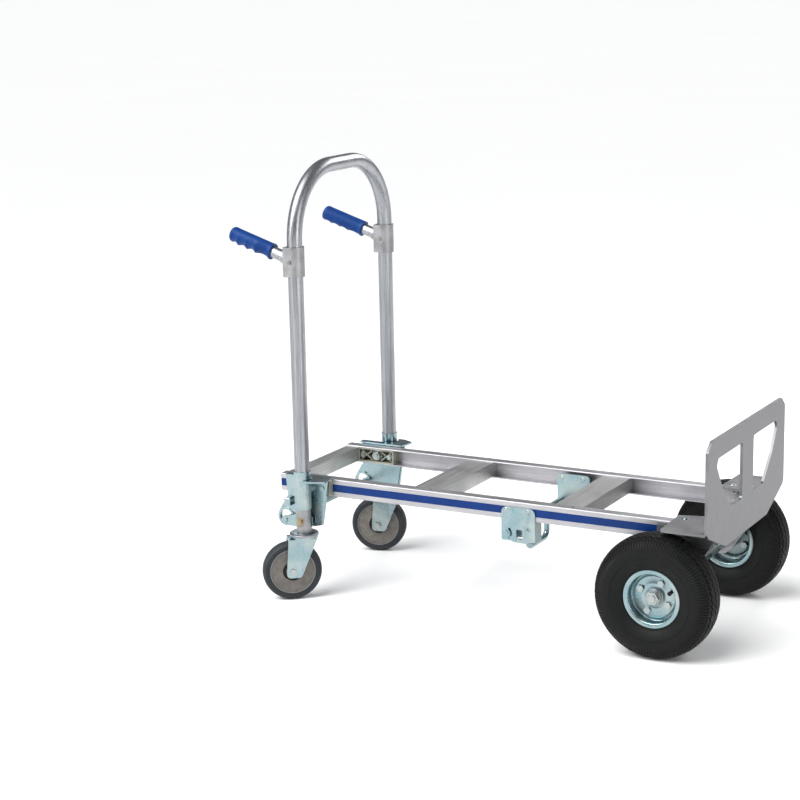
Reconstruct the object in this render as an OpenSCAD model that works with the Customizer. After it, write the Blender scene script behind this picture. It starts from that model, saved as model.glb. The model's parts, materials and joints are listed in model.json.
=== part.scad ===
// Convertible hand truck, standing as a four-wheeled platform cart.
// Origin: on the floor under the centre of the bounding box. +X runs along the rails from the
// handle end to the nose plate, +Z is up, left is +Y. Millimetres.

/* [Rails] */
// Length of each side rail
rail_len = 1002; // [990:1:1030]
// Overall width across the two rails
frame_w = 300; // [298:1:304]
// Height of the rail extrusion
rail_h = 38; // [38:1:40]
// Width of the rail extrusion
rail_w = 25; // [24:1:28]
// Height of the rail tops above the floor
deck_z = 258; // [257:0.5:260]
// Width of the two inner crossbars
crossbar_w = 62; // [50:1:66]
// Height of the vinyl stripe along each rail
stripe_h = 16; // [10:1:18]

/* [Nose plate] */
// Width of the nose plate
nose_w = 457; // [440:1:470]
// Thickness of the nose plate
nose_t = 6; // [4:0.5:8]
// Height of the nose plate's front edge above the floor
nose_top = 443; // [420:1:460]

/* [Handle] */
// Diameter of the handle tube
tube_d = 32; // [32:0.1:32.4]
// Distance between the axes of the two handle legs
handle_w = 376; // [375:1:380]
// Height of the top of the handle loop
handle_h = 932; // [920:1:1000]
// Radius of the two bends of the handle loop
bend_r = 145; // [120:1:150]
// Height of the grip clamps' centres
grip_z = 729; // [724:1:740]
// Upward tilt of the hand grips
grip_tilt = 18; // [10:1:22]

/* [Wheels] */
// Diameter of the two main tyres
tyre_d = 251; // [250:0.5:254]
// Width of the two main tyres
tyre_w = 86; // [80:1:86]
// Diameter of the caster wheels
caster_d = 127; // [125:0.5:128]
// Width of the caster wheels
caster_w = 32; // [28:1:32]
// Distance of the caster axle behind its swivel axis
caster_trail = 28; // [22:1:30]
// How far the left caster is turned about its swivel axis
left_swivel = 17; // [0:1:40]
// How far the right caster is turned about its swivel axis
right_swivel = 38; // [0:1:40]

/* [Hidden] */
$fn = 48;
gap = 0.3;               // between neighbours that move past each other
fit = 0.06;              // radial clearance of a running fit
loose = 0.25;            // radial clearance of a bolt in its hole
eps = 1;                 // how far a cut runs past a face

tyre_r = tyre_d / 2;
caster_r = caster_d / 2;
tube_r = tube_d / 2;
grip_r = 17.5;
grip_tube_r = 12;
grip_in = 56;            // inner end of a grip, along its tube from the leg axis
grip_out = 160;          // outer end of a grip
grip_edge = 4;           // edge radius of a grip

// Along X, measured from the axes of the handle legs
rail_back = 78;          // end of the rails behind the legs
axle_ahead = 822;        // main axle ahead of the legs
reach_back = (grip_out - grip_edge) * cos(grip_tilt) + (grip_r - grip_edge) * sin(grip_tilt) + grip_edge;
reach_front = axle_ahead + tyre_r;
leg_x = (reach_back - reach_front) / 2;
rail_x = leg_x - rail_back;
nose_x = rail_x + rail_len;
axle_x = leg_x + axle_ahead;

// Across, on the left side
leg_y = handle_w / 2;
rail_out = frame_w / 2;
rail_in = rail_out - rail_w;
rail_t = 3;              // flange thickness of the rail
web_t = 4;               // web thickness of the rail
web_in = rail_out - web_t;
stripe_t = 0.9;
casting_y = rail_out + 12;
bracket_t = 3.5;
bracket_y = casting_y + bracket_t;
wheel_y = 214;           // centre plane of a main wheel
rail_mid = deck_z - rail_h / 2;
rail_low = deck_z - rail_h;

// Pivot sleeves and what turns with them
pivot_z = rail_mid;
sleeve_r = 18;
sleeve_half = 41.5;
stud_r = 6;
side_bolt = 34;          // side bolts of the pivot castings, from the pivot
side_bolt_r = 3;
shelf_z = deck_z + 1;    // underside of the bracket's shelf, clear of the lying sleeve

// Cross rod between the leg ends
rod_r = 6;
rod_back = 56;           // rod behind the leg axis
rod_z = 162;
tab_in = 169.6;
tab_out = 173.4;

// Leg ends and casters
leg_end_r = 16;
leg_end_top = pivot_z - sleeve_half - gap;
leg_end_low = 146;
leg_bolt_z = 171;
raceway_r = 31;
raceway_h = 6.5;
fork_top = leg_end_low - raceway_h - gap;
fork_under = 130.7;
fork_in = 18.2;          // half the gap between the fork's plates
fork_out = 21.7;
kingpin_r = 6;

// Grip clamps
clamp_h = 62;
clamp_r = 19.7;
tube_start = 22;         // inner end of a grip's tube, along it from the leg axis
travel = grip_z - clamp_h / 2 - (pivot_z + sleeve_half) - gap;

// Latch that holds the cross rod when the handle is folded along the rails
notch_x = leg_x + (pivot_z - rod_z) + travel;
notch_z = pivot_z - rod_back;
notch_w = 15;
latch_x = notch_x - 31;
latch_z = notch_z + 8;
latch_x0 = notch_x - 40; // ends of the latch bracket
latch_x1 = notch_x + 36;
latch_low = 176;
latch_top = 247;
latch_bolt_dx = [11, 60];
loop_y = 47;             // half width of the finger loop
loop_low = 130;
loop_bend = 16;

// Crossbars: centre and width of each
bars = [[rail_x + 16, 32], [leg_x + 266, crossbar_w], [leg_x + 592, crossbar_w]];
bar_h = rail_h - 2 * rail_t - 0.2;
rivet_y = rail_out - rail_w / 2;

// Bolt places
nose_bolt_x = [nose_x - 74, nose_x - 29];
axle_bolt_x = [nose_x - 109, nose_x - 64, nose_x - 19];
pivot_bolt_x = [leg_x - side_bolt, leg_x + side_bolt];
latch_bolt_x = [for (d = latch_bolt_dx) latch_x0 + d];

// ---- helpers ----

// Draws the left-hand shape on the left (side = 1) or mirrored on the right (side = -1)
module on_side(side) {
    if (side > 0) children();
    else mirror([0, 1, 0]) children();
}

module both_sides() {
    for (side = [1, -1]) on_side(side) children();
}

// Extrudes an XZ outline from y0 to y1
module slab_y(y0, y1) {
    translate([0, y1, 0]) rotate([90, 0, 0]) linear_extrude(y1 - y0) children();
}

// Extrudes a YZ outline from x0 to x1
module slab_x(x0, x1) {
    translate([x0, 0, 0]) rotate([90, 0, 90]) linear_extrude(x1 - x0) children();
}

// Round bar along Y from y0 to y1
module bar_y(x, z, y0, y1, r) {
    translate([x, y0, z]) rotate([-90, 0, 0]) cylinder(h = y1 - y0, r = r);
}

// Hexagon along Y, across_flats wide
module hex_y(x, z, y0, y1, across_flats) {
    translate([x, y0, z]) rotate([-90, 0, 0])
        cylinder(h = y1 - y0, r = across_flats / sqrt(3), $fn = 6);
}

// Ring-shaped solid about a Y axis through (x, z); its outline is [radius, y]
module turned_y(x, y, z) {
    translate([x, y, z]) rotate([-90, 0, 0]) rotate_extrude($fn = 96) children();
}

// Quarter bend of a round bar in the YZ plane, starting at angle a0
module bend_yz(x, y, z, bend, r, a0) {
    translate([x, y, z]) rotate([90, 0, 90]) rotate([0, 0, a0])
        rotate_extrude(angle = 90, $fn = 96) translate([bend, 0]) circle(r);
}

module rounded_square(w, h, r) {
    translate([r, 0]) square([w - 2 * r, h]);
    translate([0, r]) square([w, h - 2 * r]);
    for (x = [r, w - r], y = [r, h - r]) translate([x, y]) circle(r, $fn = 32);
}

function unit(v) = v / norm(v);

// Points of the rounded corner b between its neighbours a and c
function corner(a, b, c, r, n = 6) =
    let (u = unit(a - b), v = unit(c - b), half = acos(u * v) / 2)
    let (m = b + unit(u + v) * r / sin(half))
    let (s = b + u * r / tan(half) - m, e = b + v * r / tan(half) - m)
    let (s_angle = atan2(s[1], s[0]), e_angle = atan2(e[1], e[0]))
    let (turn = (e_angle - s_angle + 900) % 360 - 180)
    [for (i = [0:n]) m + r * [cos(s_angle + turn * i / n), sin(s_angle + turn * i / n)]];

// Closed outline with every corner rounded; each point is [x, y, radius]
function rounded(p) = [for (i = [0:len(p) - 1])
    let (a = p[(i + len(p) - 1) % len(p)], b = p[i], c = p[(i + 1) % len(p)])
    each corner([a[0], a[1]], [b[0], b[1]], [c[0], c[1]], b[2])];

// The same outline on the other side of the centre line, and an outline closed across it
function flipped(p) = [for (i = [len(p) - 1:-1:0]) [-p[i][0], p[i][1], p[i][2]]];
function mirrored(p) = concat(p, flipped(p));

// Rivet along Z, its flat head sitting on z
module rivet_z(x, y, z, head_r, grip) {
    translate([x, y, z]) {
        cylinder(h = 0.9, r1 = head_r, r2 = head_r - 0.8);
        translate([0, 0, -grip]) cylinder(h = grip, r = 2.5);
        translate([0, 0, -grip - 1.2]) cylinder(h = 1.2, r = 4);
    }
}

// ---- rails, stripes and crossbars ----

module rail_section() {
    difference() {
        translate([rail_in, rail_low]) rounded_square(rail_w, rail_h, 2);
        translate([rail_in - eps, rail_low + rail_t]) square([rail_w - web_t + eps, rail_h - 2 * rail_t]);
        translate([rail_out - stripe_t - 0.1, rail_mid - stripe_h / 2 - 0.2])
            square([eps + 1, stripe_h + 0.4]);
    }
}

// Holes through the web of a rail, which its stripe has too
module web_holes(y0, y1) {
    bar_y(leg_x, pivot_z, y0, y1, stud_r + fit);
    for (x = pivot_bolt_x) bar_y(x, pivot_z, y0, y1, side_bolt_r + loose);
    for (x = latch_bolt_x) bar_y(x, rail_mid + 1, y0, y1, side_bolt_r + loose);
    for (x = axle_bolt_x) bar_y(x, rail_mid, y0, y1, 4 + loose);
}

module rail(side) {
    color("gainsboro") on_side(side) difference() {
        slab_x(rail_x, nose_x) rail_section();
        web_holes(rail_in, rail_out + eps);
        for (b = bars, d = [-1, 1]) translate([b[0] + d * b[1] / 4, rivet_y, deck_z - rail_t - eps])
            cylinder(h = rail_t + 2 * eps, r = 2.5 + loose);
        for (x = nose_bolt_x) translate([x, rivet_y, deck_z - rail_t - eps])
            cylinder(h = rail_t + 2 * eps, r = 4 + loose);
    }
}

module side_stripes() {
    color("mediumblue") both_sides() difference() {
        slab_x(rail_x + 0.5, nose_x - 129)
            translate([rail_out - stripe_t, rail_mid - stripe_h / 2]) square([stripe_t - 0.1, stripe_h]);
        web_holes(rail_in, rail_out + eps);
    }
}

// Channel between the rails, open downwards, its ends inside their webs
module crossbar(b) {
    wall = 2.5;
    color("silver") difference() {
        slab_y(-web_in + 0.2, web_in - 0.2) translate([b[0], deck_z - rail_t - bar_h]) difference() {
            translate([-b[1] / 2, 0]) square([b[1], bar_h]);
            translate([-b[1] / 2 + wall, -eps]) square([b[1] - 2 * wall, bar_h - wall + eps]);
        }
        for (d = [-1, 1], side = [-1, 1])
            translate([b[0] + d * b[1] / 4, side * rivet_y, deck_z - rail_t - wall - eps])
                cylinder(h = wall + 2 * eps, r = 2.5 + loose);
    }
}

module crossbar_rivets() {
    color("dimgray") for (b = bars, d = [-1, 1], side = [-1, 1])
        rivet_z(b[0] + d * b[1] / 4, side * rivet_y, deck_z, 4.2, rail_t + 2.5);
}

// ---- nose plate ----

// Half outlines of the nose plate and its cutouts, [y, z, corner radius]
nose_half = [[122, 213, 8], [nose_w / 2 - 7, 254, 6], [nose_w / 2, 262, 4],
    [nose_w / 2, nose_top - 18, 8], [nose_w / 2 - 22, nose_top, 12]];
nose_cutout = [[32, 287, 7], [98, 287, 9], [146, 336, 12], [181, 388, 8], [171, 402, 7], [32, 402, 9]];
// Half outline of the flange on the rails, [y, x from the load face, corner radius]
flange_half = [[nose_w / 2, 1, 0.2], [nose_w / 2, -92, 5], [118, -95, 6], [103, -36, 14], [70, -31, 30]];
flange_t = 5;

module nose_plate() {
    color("darkgray") difference() {
        union() {
            slab_x(nose_x, nose_x + nose_t) difference() {
                polygon(rounded(mirrored(nose_half)));
                polygon(rounded(nose_cutout));
                polygon(rounded(flipped(nose_cutout)));
            }
            translate([nose_x, 0, deck_z]) linear_extrude(flange_t)
                polygon([for (p = rounded(mirrored(flange_half))) [p[1], p[0]]]);
            // Fillet between the load face and the flange
            slab_y(-nose_w / 2 + 3, nose_w / 2 - 3) translate([nose_x - 8, deck_z + flange_t])
                difference() {
                    translate([0, -0.5]) square([8.5, 8.5]);
                    translate([0, 8]) circle(8);
                }
        }
        for (x = nose_bolt_x, side = [-1, 1]) translate([x, side * rivet_y, deck_z - eps])
            cylinder(h = flange_t + 2 * eps, r = 4 + loose);
    }
}

module nose_bolts() {
    color("lightsteelblue") for (x = nose_bolt_x, side = [-1, 1]) translate([x, side * rivet_y, deck_z]) {
        translate([0, 0, flange_t]) cylinder(h = 2.4, r1 = 8, r2 = 5);
        translate([0, 0, -rail_t - 8]) cylinder(h = rail_t + 8 + flange_t, r = 4);
        translate([0, 0, -rail_t - 6.5]) cylinder(h = 6.5, r = 13 / sqrt(3), $fn = 6);
    }
}

// ---- main axle ----

axle_r = 8;
boss_out = 167;          // outer face of the axle bracket's boss
hub_in = 44;             // inner end of a hub, from the wheel's centre plane
hub_out = 20;            // its outer end

module axle_brackets() {
    outline = [[nose_x - 127, deck_z - 2, 6], [nose_x - 0.3, deck_z - 2, 2], [nose_x - 0.3, 236, 6],
        [axle_x + 19, tyre_r - 12, 12], [axle_x - 16, tyre_r - 12, 12], [nose_x - 127, rail_low, 14]];
    color("silver") both_sides() difference() {
        union() {
            slab_y(rail_out, rail_out + 5) polygon(rounded(outline));
            bar_y(axle_x, tyre_r, rail_out, boss_out, 19);
        }
        bar_y(axle_x, tyre_r, rail_out - eps, boss_out + eps, axle_r + fit);
        for (x = axle_bolt_x) bar_y(x, rail_mid, rail_out - eps, rail_out + 6, 4 + loose);
    }
}

module axle_bracket_bolts() {
    color("lightsteelblue") both_sides() for (x = axle_bolt_x) {
        bar_y(x, rail_mid, web_in - 8, rail_out + 6, 4);
        hex_y(x, rail_mid, web_in - 6.5, web_in, 13);
        translate([x, rail_out + 5, rail_mid]) rotate([-90, 0, 0]) cylinder(h = 4, r1 = 8, r2 = 5);
    }
}

module axle() {
    color("lightsteelblue") bar_y(axle_x, tyre_r, -wheel_y - hub_out - 11, wheel_y + hub_out + 11, axle_r);
}

module washer_y(x, z, y0, y1, r_in, r_out) {
    difference() {
        bar_y(x, z, y0, y1, r_out);
        bar_y(x, z, y0 - eps, y1 + eps, r_in);
    }
}

module axle_washers() {
    color("lightsteelblue") both_sides() {
        washer_y(axle_x, tyre_r, boss_out + 0.1, wheel_y - hub_in - gap, axle_r + fit, 15);
        washer_y(axle_x, tyre_r, wheel_y + hub_out + gap, wheel_y + hub_out + 2.4, axle_r + fit, 15);
    }
}

module axle_nuts() {
    color("lightsteelblue") both_sides() difference() {
        union() {
            hex_y(axle_x, tyre_r, wheel_y + hub_out + 2.5, wheel_y + hub_out + 8.5, 24);
            bar_y(axle_x, tyre_r, wheel_y + hub_out + 8, wheel_y + hub_out + 9.5, 10);
        }
        bar_y(axle_x, tyre_r, wheel_y, wheel_y + 60, axle_r + fit);
    }
}

// ---- pivot castings and brackets ----

module pivot_bores(y0, y1) {
    bar_y(leg_x, pivot_z, y0, y1, stud_r + fit);
    for (x = pivot_bolt_x) bar_y(x, pivot_z, y0, y1, side_bolt_r + loose);
}

// Ribbed block that fills the rail behind the pivot
module inner_castings() {
    half_l = 45.5;
    half_h = rail_h / 2 - rail_t - 0.1;
    floor_y = web_in - 4;
    depth_y = rail_in - 1;
    color("darkkhaki") both_sides() difference() {
        union() {
            slab_y(floor_y, web_in) translate([leg_x - half_l, pivot_z - half_h])
                square([2 * half_l, 2 * half_h]);
            slab_y(depth_y, web_in) difference() {
                translate([leg_x - half_l, pivot_z - half_h]) square([2 * half_l, 2 * half_h]);
                translate([leg_x - half_l + 3, pivot_z - half_h + 3])
                    square([2 * half_l - 6, 2 * half_h - 6]);
            }
            bar_y(leg_x, pivot_z, rail_in + 9, web_in, 12);
            for (x = pivot_bolt_x) bar_y(x, pivot_z, depth_y + 3, web_in, 7);
            for (m = [-1, 1], t = [-1, 1]) intersection() {
                translate([leg_x + m * 25, 0, pivot_z]) rotate([0, t * 52, 0])
                    translate([-1.25, depth_y + 4, -20]) cube([2.5, web_in - depth_y - 4, 40]);
                translate([leg_x + m * 25 - 14, 0, pivot_z - half_h]) cube([28, 200, 2 * half_h]);
            }
        }
        pivot_bores(0, rail_out);
        bar_y(leg_x, pivot_z, 0, rail_in + 9, 12.5);
    }
}

module outer_castings() {
    color("darkkhaki") both_sides() difference() {
        slab_y(rail_out, casting_y) translate([leg_x - 56, rail_low + 2]) difference() {
            rounded_square(108, rail_h - 3, 4);
            for (x = [14, 68], z = [-3, rail_h - 9]) translate([x, z]) rounded_square(26, 9, 2);
        }
        pivot_bores(0, 200);
    }
}

// Shelf at rail height with the notch that the leg stands in
module pivot_shelf() {
    outline = [[-56, rail_out + gap, 2], [52, rail_out + gap, 2], [56, 170, 4], [58, 191, 6],
        [30, 205, 6], [8, 205, 1], [8, 186, 0.2], [-56, 186, 0.2]];
    translate([leg_x, 0, shelf_z]) linear_extrude(bracket_t) difference() {
        polygon(rounded(outline));
        translate([0, leg_y]) circle(sleeve_r + 3.5);
        translate([-60, leg_y - sleeve_r - 3.5]) square([60, 50]);
    }
}

// Plate beside the rail, ending in the hook for the cross rod
module pivot_web() {
    hook = [-rod_back - 1, rod_z + 6];
    outline = [[-56, shelf_z + 1, 1], [49, shelf_z + 1, 1], [33, 158, 6], [12, 153, 8], [-14, 155, 10],
        [-36, 178, 6], [-46, 187, 3], [-76, 179, 2], [-52, 216, 8]];
    slab_y(casting_y, bracket_y) translate([leg_x, 0]) difference() {
        polygon(rounded(outline));
        translate(hook) circle(17);
    }
    // Rolled hook, open towards the path of the rod
    slab_y(casting_y - 4, casting_y + 6) translate([leg_x, 0]) translate(hook) difference() {
        circle(20);
        circle(15.5);
        rotate(-35) polygon([[0, 0], [40, -34], [40, 34]]);
    }
}

module pivot_bracket(side) {
    stop_z = 210;
    lip_x = leg_x - 34;
    color("lightblue") on_side(side) difference() {
        union() {
            pivot_shelf();
            pivot_web();
            // Stiffening lip along the front edge
            slab_y(bracket_y - eps, 169.2) translate([leg_x, 0])
                polygon([[49, shelf_z + 1], [52, shelf_z + 1], [36, 160], [33, 160]]);
            // Lip that carries the stop bolt
            translate([lip_x, bracket_y - eps, 200]) cube([3, 26, 19]);
        }
        pivot_bores(casting_y - eps, bracket_y + eps);
        translate([lip_x - eps, 178, stop_z]) rotate([0, 90, 0]) cylinder(h = 5, r = 3 + loose);
    }
}

module casting_bolts() {
    color("lightsteelblue") both_sides() for (x = pivot_bolt_x) {
        bar_y(x, pivot_z, rail_in - 2, bracket_y + 1, side_bolt_r);
        hex_y(x, pivot_z, rail_in - 2, rail_in + 2, 10);
        bar_y(x, pivot_z, bracket_y, bracket_y + 2.2, 5.5);
    }
}

// Adjusting bolts that the sleeves rest against when the handle stands up
module stop_bolts() {
    color("lightsteelblue") both_sides() translate([leg_x - 55, 178, 210]) rotate([0, 90, 0]) {
        cylinder(h = 33, r = 3);
        translate([0, 0, 15]) cylinder(h = 5.8, r = 10 / sqrt(3), $fn = 6);
        translate([0, 0, 24.2]) cylinder(h = 3, r = 10 / sqrt(3), $fn = 6);
        translate([0, 0, 31]) cylinder(h = 4, r = 5);
    }
}

// ---- latch under the rails ----

// Curved slot that lets the hook be seen and limits it
module latch_slot() {
    translate([latch_x, latch_z]) {
        intersection() {
            difference() {
                circle(15);
                circle(10);
            }
            polygon([[0, 0], [24, -26], [24, 26]]);
        }
        for (a = [-47, 47]) rotate(a) translate([12.5, 0]) circle(2.5, $fn = 24);
    }
}

module latch_brackets() {
    outer = [[latch_x0, latch_low, 3], [latch_x1, latch_low, 3], [latch_x1, latch_top, 12],
        [latch_x0, latch_top, 12]];
    inner = [[latch_x0, latch_low, 0.2], [latch_x1, latch_low, 0.2], [latch_x1, latch_top + 3, 8],
        [latch_x0, latch_top + 3, 8]];
    color("lightblue") both_sides() difference() {
        union() {
            slab_y(rail_out, rail_out + 3) polygon(rounded(outer));
            slab_y(rail_in - 3, rail_in - 0.05) polygon(rounded(inner));
            translate([latch_x0, rail_in - eps, rail_low - 3])
                cube([latch_x1 - latch_x0, rail_w + 2 * eps, 3]);
            translate([latch_x1 - 3, rail_in - eps, latch_low])
                cube([3, rail_w + 2 * eps, rail_low - latch_low]);
        }
        slab_y(rail_in - 5, rail_out + 5) translate([notch_x - notch_w / 2, latch_low - eps])
            rounded_square(notch_w, 25.5, 2);
        slab_y(rail_out - eps, rail_out + 5) latch_slot();
        bar_y(notch_x + 22, 204, rail_out - eps, rail_out + 5, 4);
        bar_y(latch_x, latch_z, rail_in - 5, rail_out + 5, rod_r + fit);
        for (x = latch_bolt_x) bar_y(x, rail_mid + 1, rail_in - 5, rail_out + 5, side_bolt_r + loose);
    }
}

// Bolts through both plates of a latch bracket and the rail between them
module latch_bracket_bolts() {
    color("lightsteelblue") both_sides() for (x = latch_bolt_x) {
        bar_y(x, rail_mid + 1, rail_in - 4, rail_out + 4, side_bolt_r);
        translate([x, rail_in - 4.6, rail_mid + 1]) rotate([-90, 0, 0]) cylinder(h = 1.6, r1 = 4, r2 = 5.5);
        translate([x, rail_out + 3, rail_mid + 1]) rotate([-90, 0, 0]) cylinder(h = 1.6, r1 = 5.5, r2 = 4);
    }
}

// Torsion springs that turn the hooks closed
module latch_springs() {
    coil_r = rod_r + 1.8;
    color("dimgray") both_sides() {
        for (i = [0:2]) translate([latch_x, rail_in + 2 + i * 1.8, latch_z]) rotate([-90, 0, 0])
            rotate_extrude($fn = 36) translate([coil_r, 0]) circle(1, $fn = 16);
        translate([latch_x - coil_r, rail_in + 2, latch_z])
            cylinder(h = rail_low - 3 - latch_z, r = 1, $fn = 24);
    }
}

module release_rod() {
    color("lightblue") {
        both_sides() {
            bar_y(latch_x, latch_z, loop_y + loop_bend, rail_out + 4, rod_r);
            bend_yz(latch_x, loop_y + loop_bend, latch_z - loop_bend, loop_bend, rod_r, 90);
            translate([latch_x, loop_y, loop_low + loop_bend])
                cylinder(h = latch_z - loop_low - 2 * loop_bend, r = rod_r);
            bend_yz(latch_x, loop_y - loop_bend, loop_low + loop_bend, loop_bend, rod_r, -90);
        }
        bar_y(latch_x, loop_low, -loop_y + loop_bend, loop_y - loop_bend, rod_r);
    }
}

module latch_hooks() {
    claw = [[-9, -6, 2], [1, -18, 4], [12, -23, 3], [42, -23, 3], [42, -11.5, 1], [39, -11.5, 1],
        [38, -15.2, 1], [22, -15.2, 2], [9, -3, 2]];
    color("slategray") both_sides() slab_y(133.5, 139) translate([latch_x, latch_z]) difference() {
        union() {
            circle(11);
            polygon(rounded(claw));
        }
        circle(rod_r + 0.03);
    }
}

// ---- sleeves that pivot on the rails ----

module sleeve(side) {
    color("lightblue") on_side(side) difference() {
        union() {
            translate([leg_x, leg_y, pivot_z - sleeve_half]) cylinder(h = 2 * sleeve_half, r = sleeve_r);
            bar_y(leg_x, pivot_z, bracket_y + gap, leg_y, 13);
        }
        translate([leg_x, leg_y, pivot_z - sleeve_half - eps])
            cylinder(h = 2 * sleeve_half + 2 * eps, r = tube_r + fit);
    }
}

module pivot_studs() {
    color("lightsteelblue") both_sides() bar_y(leg_x, pivot_z, rail_in - 3, bracket_y + gap, stud_r);
}

module pivot_nuts() {
    seat = rail_in + 9 - gap;
    color("lightsteelblue") both_sides() difference() {
        union() {
            bar_y(leg_x, pivot_z, seat - 1.6, seat, 11.5);
            hex_y(leg_x, pivot_z, seat - 9.6, seat - 1.5, 18);
        }
        bar_y(leg_x, pivot_z, 0, rail_out, stud_r + 0.03);
    }
}

// ---- handle ----

module handle_path(r) {
    both_sides() {
        translate([leg_x, leg_y, leg_end_top])
            cylinder(h = handle_h - tube_r - bend_r - leg_end_top, r = r);
        bend_yz(leg_x, leg_y - bend_r, handle_h - tube_r - bend_r, bend_r, r, 0);
    }
    bar_y(leg_x, handle_h - tube_r, bend_r - leg_y, leg_y - bend_r, r);
}

module handle_tube() {
    color("whitesmoke") difference() {
        handle_path(tube_r);
        handle_path(tube_r - 2.5);
        both_sides() translate([leg_x, leg_y, leg_end_top - eps]) cylinder(h = 2 * eps, r = tube_r - 2.5);
    }
}

// Draws along a grip's axis, from the leg axis out
module grip_axis() {
    translate([leg_x, leg_y, grip_z]) rotate([0, grip_tilt - 90, 0]) children();
}

// Collar on a leg, squared towards the grip
module grip_clamp(side) {
    color("silver") on_side(side) difference() {
        union() {
            translate([leg_x, leg_y, grip_z - clamp_h / 2]) {
                cylinder(h = clamp_h, r = clamp_r, $fn = 64);
                translate([-18, -clamp_r, 0]) cube([18, 2 * clamp_r, clamp_h]);
            }
            grip_axis() cylinder(h = tube_start + 6, r = grip_tube_r + 2);
        }
        translate([leg_x, leg_y, grip_z - clamp_h]) cylinder(h = 2 * clamp_h, r = tube_r + 0.05);
        grip_axis() translate([0, 0, tube_start - 0.2]) cylinder(h = 20, r = grip_tube_r + 0.05);
        bar_y(leg_x - 2, grip_z, leg_y - 24, leg_y + 24, 3 + loose);
    }
}

// Short screws in both cheeks of a clamp
module clamp_screws() {
    color("dimgray") both_sides() for (m = [0, 1]) translate([0, leg_y, 0]) mirror([0, m, 0]) {
        bar_y(leg_x - 2, grip_z, tube_r + 0.5, clamp_r + 1, 3);
        bar_y(leg_x - 2, grip_z, clamp_r, clamp_r + 2.2, 4.2);
    }
}

module grip_tubes() {
    color("whitesmoke") both_sides() grip_axis() difference() {
        translate([0, 0, tube_start]) cylinder(h = 151.2 - tube_start, r = grip_tube_r);
        translate([0, 0, tube_start - 5]) cylinder(h = 140, r = grip_tube_r - 2);
    }
}

module grip(side) {
    color("royalblue") on_side(side) grip_axis() rotate_extrude() difference() {
        union() {
            translate([0, grip_in]) square([grip_r, grip_out - grip_edge - grip_in]);
            translate([0, grip_out - 2 * grip_edge]) square([grip_r - grip_edge, 2 * grip_edge]);
            translate([grip_r - grip_edge, grip_out - grip_edge]) circle(grip_edge, $fn = 32);
        }
        translate([-eps, grip_in - eps]) square([grip_tube_r + 0.05 + eps, 151.5 - grip_in + eps]);
        translate([-20, 0]) square([20, 200]);
    }
}

// Solid ends plugged into the legs
module leg_ends() {
    color("silver") both_sides() difference() {
        union() {
            translate([leg_x, leg_y, leg_end_low]) cylinder(h = leg_end_top - leg_end_low, r = leg_end_r);
            translate([leg_x, leg_y, leg_end_low]) cylinder(h = 82, r = tube_r - 2.6);
        }
        translate([leg_x - 30, leg_y - 30, leg_end_low - eps]) cube([60, tab_out - leg_y + 30.1, 38 + eps]);
        bar_y(leg_x, leg_bolt_z, tab_in, leg_y + 30, 4 + loose);
        bar_y(leg_x, leg_bolt_z, leg_y + leg_end_r - 2.5, leg_y + 30, 10);
        translate([leg_x, leg_y, leg_end_low - eps]) cylinder(h = 15 + eps, r = kingpin_r + 0.1);
    }
}

// Plates that carry the cross rod behind the leg ends
module rod_tabs() {
    outline = [[-64.5, 150, 7], [-64.5, 170, 8], [-30, 176, 8], [12, 179, 6], [12, 150, 8]];
    color("lightblue") both_sides() difference() {
        slab_y(tab_in, tab_out) translate([leg_x, 0]) polygon(rounded(outline));
        bar_y(leg_x - rod_back, rod_z, tab_in - eps, tab_out + eps, rod_r + 0.05);
        bar_y(leg_x, leg_bolt_z, tab_in - eps, tab_out + eps, 4 + loose);
    }
}

module cross_rod() {
    color("lightblue") bar_y(leg_x - rod_back, rod_z, -tab_out - 2, tab_out + 2, rod_r);
}

module leg_end_bolts() {
    seat = leg_y + leg_end_r - 2.5;
    color("goldenrod") both_sides() {
        bar_y(leg_x, leg_bolt_z, tab_in, seat + 1, 4);
        bar_y(leg_x, leg_bolt_z, seat, seat + 1.4, 9.5);
        hex_y(leg_x, leg_bolt_z, seat + 1.2, seat + 4.5, 11);
    }
}

// ---- casters ----

module caster_raceways() {
    color("gray") both_sides() translate([leg_x, leg_y, leg_end_low - raceway_h]) difference() {
        union() {
            cylinder(h = raceway_h - 2, r = raceway_r);
            translate([0, 0, raceway_h - 2]) cylinder(h = 2, r1 = raceway_r, r2 = raceway_r - 3);
        }
        translate([0, 0, -eps]) cylinder(h = 10, r = kingpin_r + 0.1);
    }
}

module caster_kingpins() {
    color("dimgray") both_sides() translate([leg_x, leg_y, 0]) {
        translate([0, 0, fork_under - 4]) cylinder(h = leg_end_low + 14 - fork_under + 4, r = kingpin_r);
        translate([0, 0, fork_under - 4]) cylinder(h = 4 - gap, r = 9);
    }
}

// Turns a caster drawn at the leg axis, its trail towards -X, to the way it happens to point
module swivelled(side) {
    translate([leg_x, side * leg_y, 0])
        rotate([0, 0, side > 0 ? left_swivel : right_swivel]) children();
}

module fork(side) {
    plate = [[-36, fork_under + 3, 1], [25, fork_under + 3, 1], [-10, 50, 9], [-42, 50, 9]];
    color("lightblue") swivelled(side) difference() {
        union() {
            translate([0, 0, fork_under + 3]) cylinder(h = fork_top - fork_under - 3, r = raceway_r - 2);
            translate([-36, -fork_out, fork_under]) cube([61, 2 * fork_out, 4]);
            for (y = [-fork_out, fork_in]) slab_y(y, y + fork_out - fork_in) polygon(rounded(plate));
        }
        translate([0, 0, fork_under - eps]) cylinder(h = 30, r = kingpin_r + fit);
        bar_y(-caster_trail, caster_r, -30, 30, 5 + 0.05);
    }
}

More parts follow.
